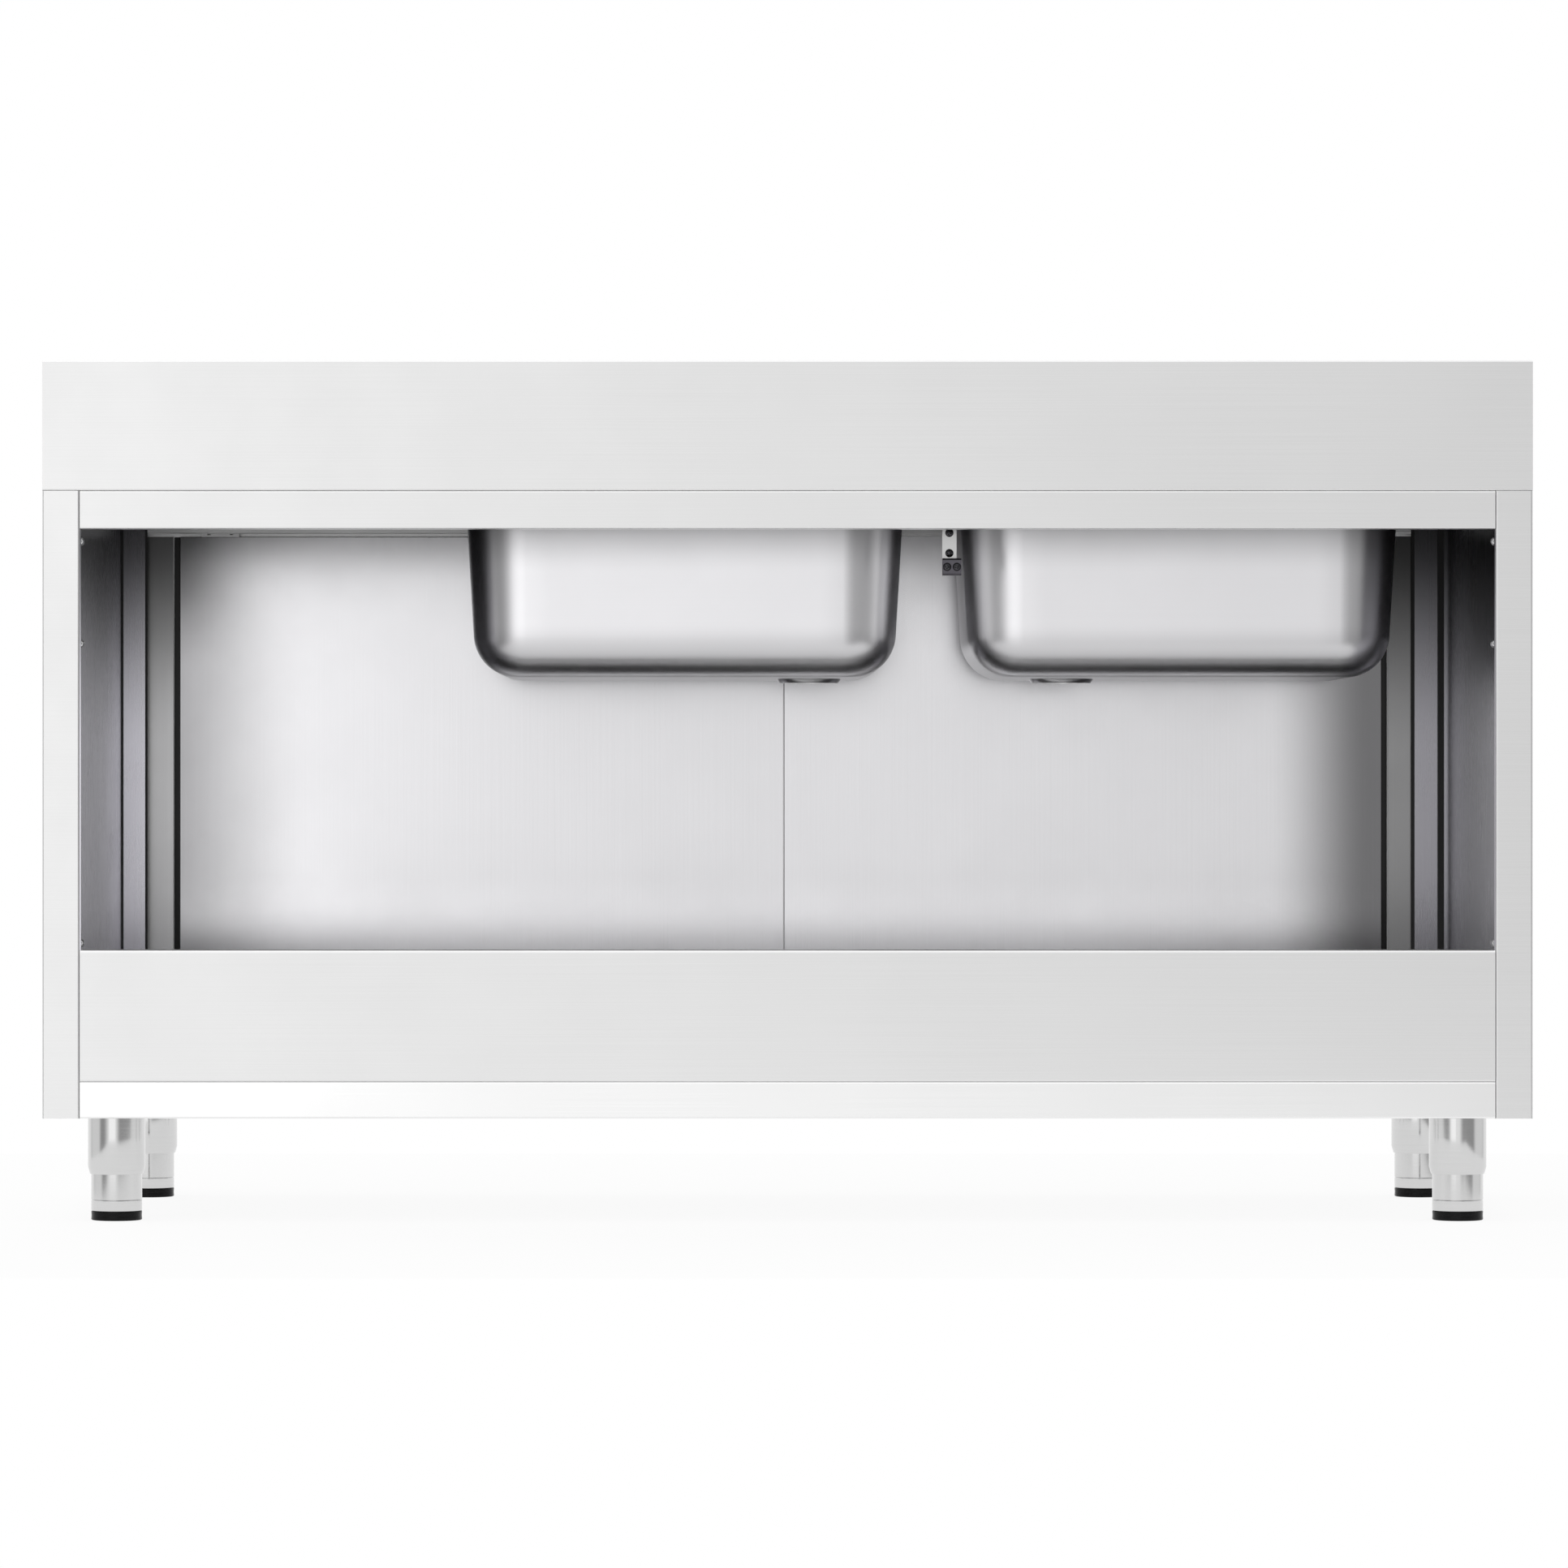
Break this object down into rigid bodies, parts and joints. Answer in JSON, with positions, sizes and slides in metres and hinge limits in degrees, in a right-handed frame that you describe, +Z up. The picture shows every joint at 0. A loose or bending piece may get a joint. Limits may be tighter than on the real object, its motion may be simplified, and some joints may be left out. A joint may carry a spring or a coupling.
{
  "type": "kitchen sink unit",
  "caption": "Stainless steel sink cupboard with an upstand, drainer and two bowls on top, an open back, two sliding front doors and adjustable feet.",
  "frame": {"origin": "on the floor under the middle of the unit's overall width and depth, with the feet wound right in", "axes": "+X along the front to the drainer's end, +Y to the open back and the upstand, +Z up; the doors face -Y"},
  "size_m": [1.6, 0.6, 0.926],
  "materials": {
    "worktop_steel": "satin stainless, fine grain along the length",
    "bowl_steel": "satin pressed stainless",
    "body_steel": "satin stainless sheet",
    "liner_steel": "satin stainless sheet, darker from inside",
    "door_steel": "satin stainless sheet",
    "frame_steel": "plain mill-finish stainless",
    "track_steel": "drawn stainless profile",
    "leg_steel": "turned and brushed stainless tube",
    "spindle_steel": "zinc-plated steel",
    "screw_steel": "polished stainless screw heads",
    "terminal_brass": "nickel-plated brass",
    "nylon": "off-white nylon",
    "seal_rubber": "dark soft rubber",
    "pad_plastic": "black glossy plastic"
  },
  "bodies": {
    "carcass": {"worktop": "worktop_steel", "left_bowl": "bowl_steel", "right_bowl": "bowl_steel", "worktop_stiffeners": "frame_steel", "bowl_brace": "frame_steel", "earth_bracket": "frame_steel", "earth_terminal": "terminal_brass", "earth_screws": "screw_steel", "jamb_seals": "seal_rubber", "left_side_panel": "body_steel", "right_side_panel": "body_steel", "left_side_liner": "liner_steel", "right_side_liner": "liner_steel", "liner_screws": "screw_steel", "left_jamb": "body_steel", "right_jamb": "body_steel", "rear_top_rail": "body_steel", "front_header": "body_steel", "top_track": "track_steel", "track_screws": "screw_steel", "track_stops": "nylon", "bottom_track": "track_steel", "bottom_shelf": "body_steel", "shelf_stiffeners": "frame_steel", "lower_rear_panel": "body_steel", "leg_nuts": "spindle_steel", "front_left_leg_sleeve": "leg_steel", "front_right_leg_sleeve": "leg_steel", "rear_left_leg_sleeve": "leg_steel", "rear_right_leg_sleeve": "leg_steel"},
    "right_door": {"right_door_face": "door_steel", "right_door_liner": "liner_steel", "right_door_stiffeners": "frame_steel", "right_door_hangers": "track_steel", "right_door_hanger_screws": "screw_steel", "right_door_axles": "spindle_steel", "right_door_guides": "nylon"},
    "right_door_outer_roller": {"right_door_outer_roller": "nylon"},
    "right_door_inner_roller": {"right_door_inner_roller": "nylon"},
    "left_door": {"left_door_face": "door_steel", "left_door_liner": "liner_steel", "left_door_stiffeners": "frame_steel", "left_door_hangers": "track_steel", "left_door_hanger_screws": "screw_steel", "left_door_axles": "spindle_steel", "left_door_guides": "nylon"},
    "left_door_outer_roller": {"left_door_outer_roller": "nylon"},
    "left_door_inner_roller": {"left_door_inner_roller": "nylon"},
    "front_left_pad": {"front_left_foot_pad": "pad_plastic"},
    "front_left_foot": {"front_left_foot_tube": "leg_steel", "front_left_foot_spindle": "spindle_steel"},
    "front_right_pad": {"front_right_foot_pad": "pad_plastic"},
    "front_right_foot": {"front_right_foot_tube": "leg_steel", "front_right_foot_spindle": "spindle_steel"},
    "rear_left_pad": {"rear_left_foot_pad": "pad_plastic"},
    "rear_left_foot": {"rear_left_foot_tube": "leg_steel", "rear_left_foot_spindle": "spindle_steel"},
    "rear_right_pad": {"rear_right_foot_pad": "pad_plastic"},
    "rear_right_foot": {"rear_right_foot_tube": "leg_steel", "rear_right_foot_spindle": "spindle_steel"}
  },
  "joints": [
    {"name": "right_door_slide", "type": "slide", "parent": "carcass", "child": "right_door", "axis": [-1, 0, 0], "range_m": [0, 0.7]},
    {"name": "right_door_outer_roller_turn", "type": "hinge", "parent": "right_door", "child": "right_door_outer_roller", "pos_m": [0.648, -0.2645, 0.7703], "axis": [0, 1, 0], "continuous": true},
    {"name": "right_door_inner_roller_turn", "type": "hinge", "parent": "right_door", "child": "right_door_inner_roller", "pos_m": [0.097, -0.2645, 0.7703], "axis": [0, 1, 0], "continuous": true},
    {"name": "left_door_slide", "type": "slide", "parent": "carcass", "child": "left_door", "axis": [1, 0, 0], "range_m": [0, 0.7]},
    {"name": "left_door_outer_roller_turn", "type": "hinge", "parent": "left_door", "child": "left_door_outer_roller", "pos_m": [-0.6385, -0.2455, 0.7703], "axis": [0, 1, 0], "continuous": true},
    {"name": "left_door_inner_roller_turn", "type": "hinge", "parent": "left_door", "child": "left_door_inner_roller", "pos_m": [-0.109, -0.2455, 0.7703], "axis": [0, 1, 0], "continuous": true},
    {"name": "front_left_foot_slide", "type": "slide", "parent": "carcass", "child": "front_left_pad", "axis": [0, 0, -1], "range_m": [0, 0.035]},
    {"name": "front_left_foot_turn", "type": "hinge", "parent": "front_left_pad", "child": "front_left_foot", "pos_m": [-0.725, -0.22, 0.05], "axis": [0, 0, -1], "range_deg": [0, 5040]},
    {"name": "front_right_foot_slide", "type": "slide", "parent": "carcass", "child": "front_right_pad", "axis": [0, 0, -1], "range_m": [0, 0.035]},
    {"name": "front_right_foot_turn", "type": "hinge", "parent": "front_right_pad", "child": "front_right_foot", "pos_m": [0.725, -0.22, 0.05], "axis": [0, 0, -1], "range_deg": [0, 5040]},
    {"name": "rear_left_foot_slide", "type": "slide", "parent": "carcass", "child": "rear_left_pad", "axis": [0, 0, -1], "range_m": [0, 0.035]},
    {"name": "rear_left_foot_turn", "type": "hinge", "parent": "rear_left_pad", "child": "rear_left_foot", "pos_m": [-0.725, 0.24, 0.05], "axis": [0, 0, -1], "range_deg": [0, 5040]},
    {"name": "rear_right_foot_slide", "type": "slide", "parent": "carcass", "child": "rear_right_pad", "axis": [0, 0, -1], "range_m": [0, 0.035]},
    {"name": "rear_right_foot_turn", "type": "hinge", "parent": "rear_right_pad", "child": "rear_right_foot", "pos_m": [0.725, 0.24, 0.05], "axis": [0, 0, -1], "range_deg": [0, 5040]}
  ],
  "couplings": [
    {"joint": "right_door_outer_roller_turn", "follows": "right_door_slide", "rad_per_m": -105.26},
    {"joint": "right_door_inner_roller_turn", "follows": "right_door_slide", "rad_per_m": -105.26},
    {"joint": "left_door_outer_roller_turn", "follows": "left_door_slide", "rad_per_m": 105.26},
    {"joint": "left_door_inner_roller_turn", "follows": "left_door_slide", "rad_per_m": 105.26},
    {"joint": "front_left_foot_slide", "follows": "front_left_foot_turn", "m_per_rad": 0.00039788},
    {"joint": "front_right_foot_slide", "follows": "front_right_foot_turn", "m_per_rad": 0.00039788},
    {"joint": "rear_left_foot_slide", "follows": "rear_left_foot_turn", "m_per_rad": 0.00039788},
    {"joint": "rear_right_foot_slide", "follows": "rear_right_foot_turn", "m_per_rad": 0.00039788}
  ]
}
